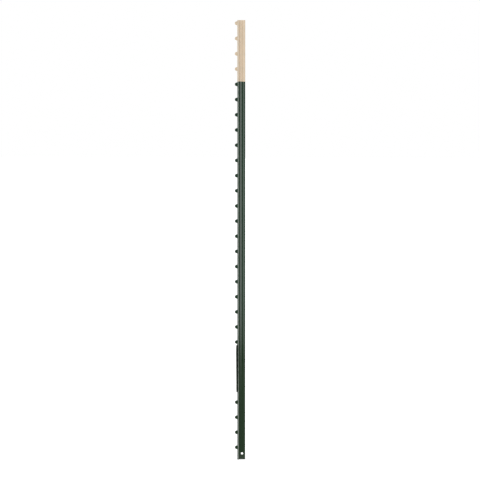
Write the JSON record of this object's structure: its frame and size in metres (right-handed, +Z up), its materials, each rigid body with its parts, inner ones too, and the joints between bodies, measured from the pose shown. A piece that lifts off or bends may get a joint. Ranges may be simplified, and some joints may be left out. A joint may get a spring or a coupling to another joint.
{
  "type": "studded steel T post",
  "caption": "Upright rolled-steel fence post of T section with a beaded web, studs along its face to seat fence wire, and a riveted spade plate near its foot.",
  "frame": {"origin": "centre of the post's lower end, in the web, midway between the stud tips and the bead", "axes": "+Z up along the post, studs and wire face towards -X, web and bead towards +X, flange across Y"},
  "size_m": [0.0428, 0.0888, 1.8288],
  "materials": {
    "post_paint": "gloss dark green enamel over hot-rolled steel, dipped in cream enamel at the top",
    "plate_paint": "gloss dark green enamel over sheet steel"
  },
  "bodies": {
    "root": {"t_post": "post_paint", "anchor_plate": "plate_paint"}
  },
  "joints": []
}
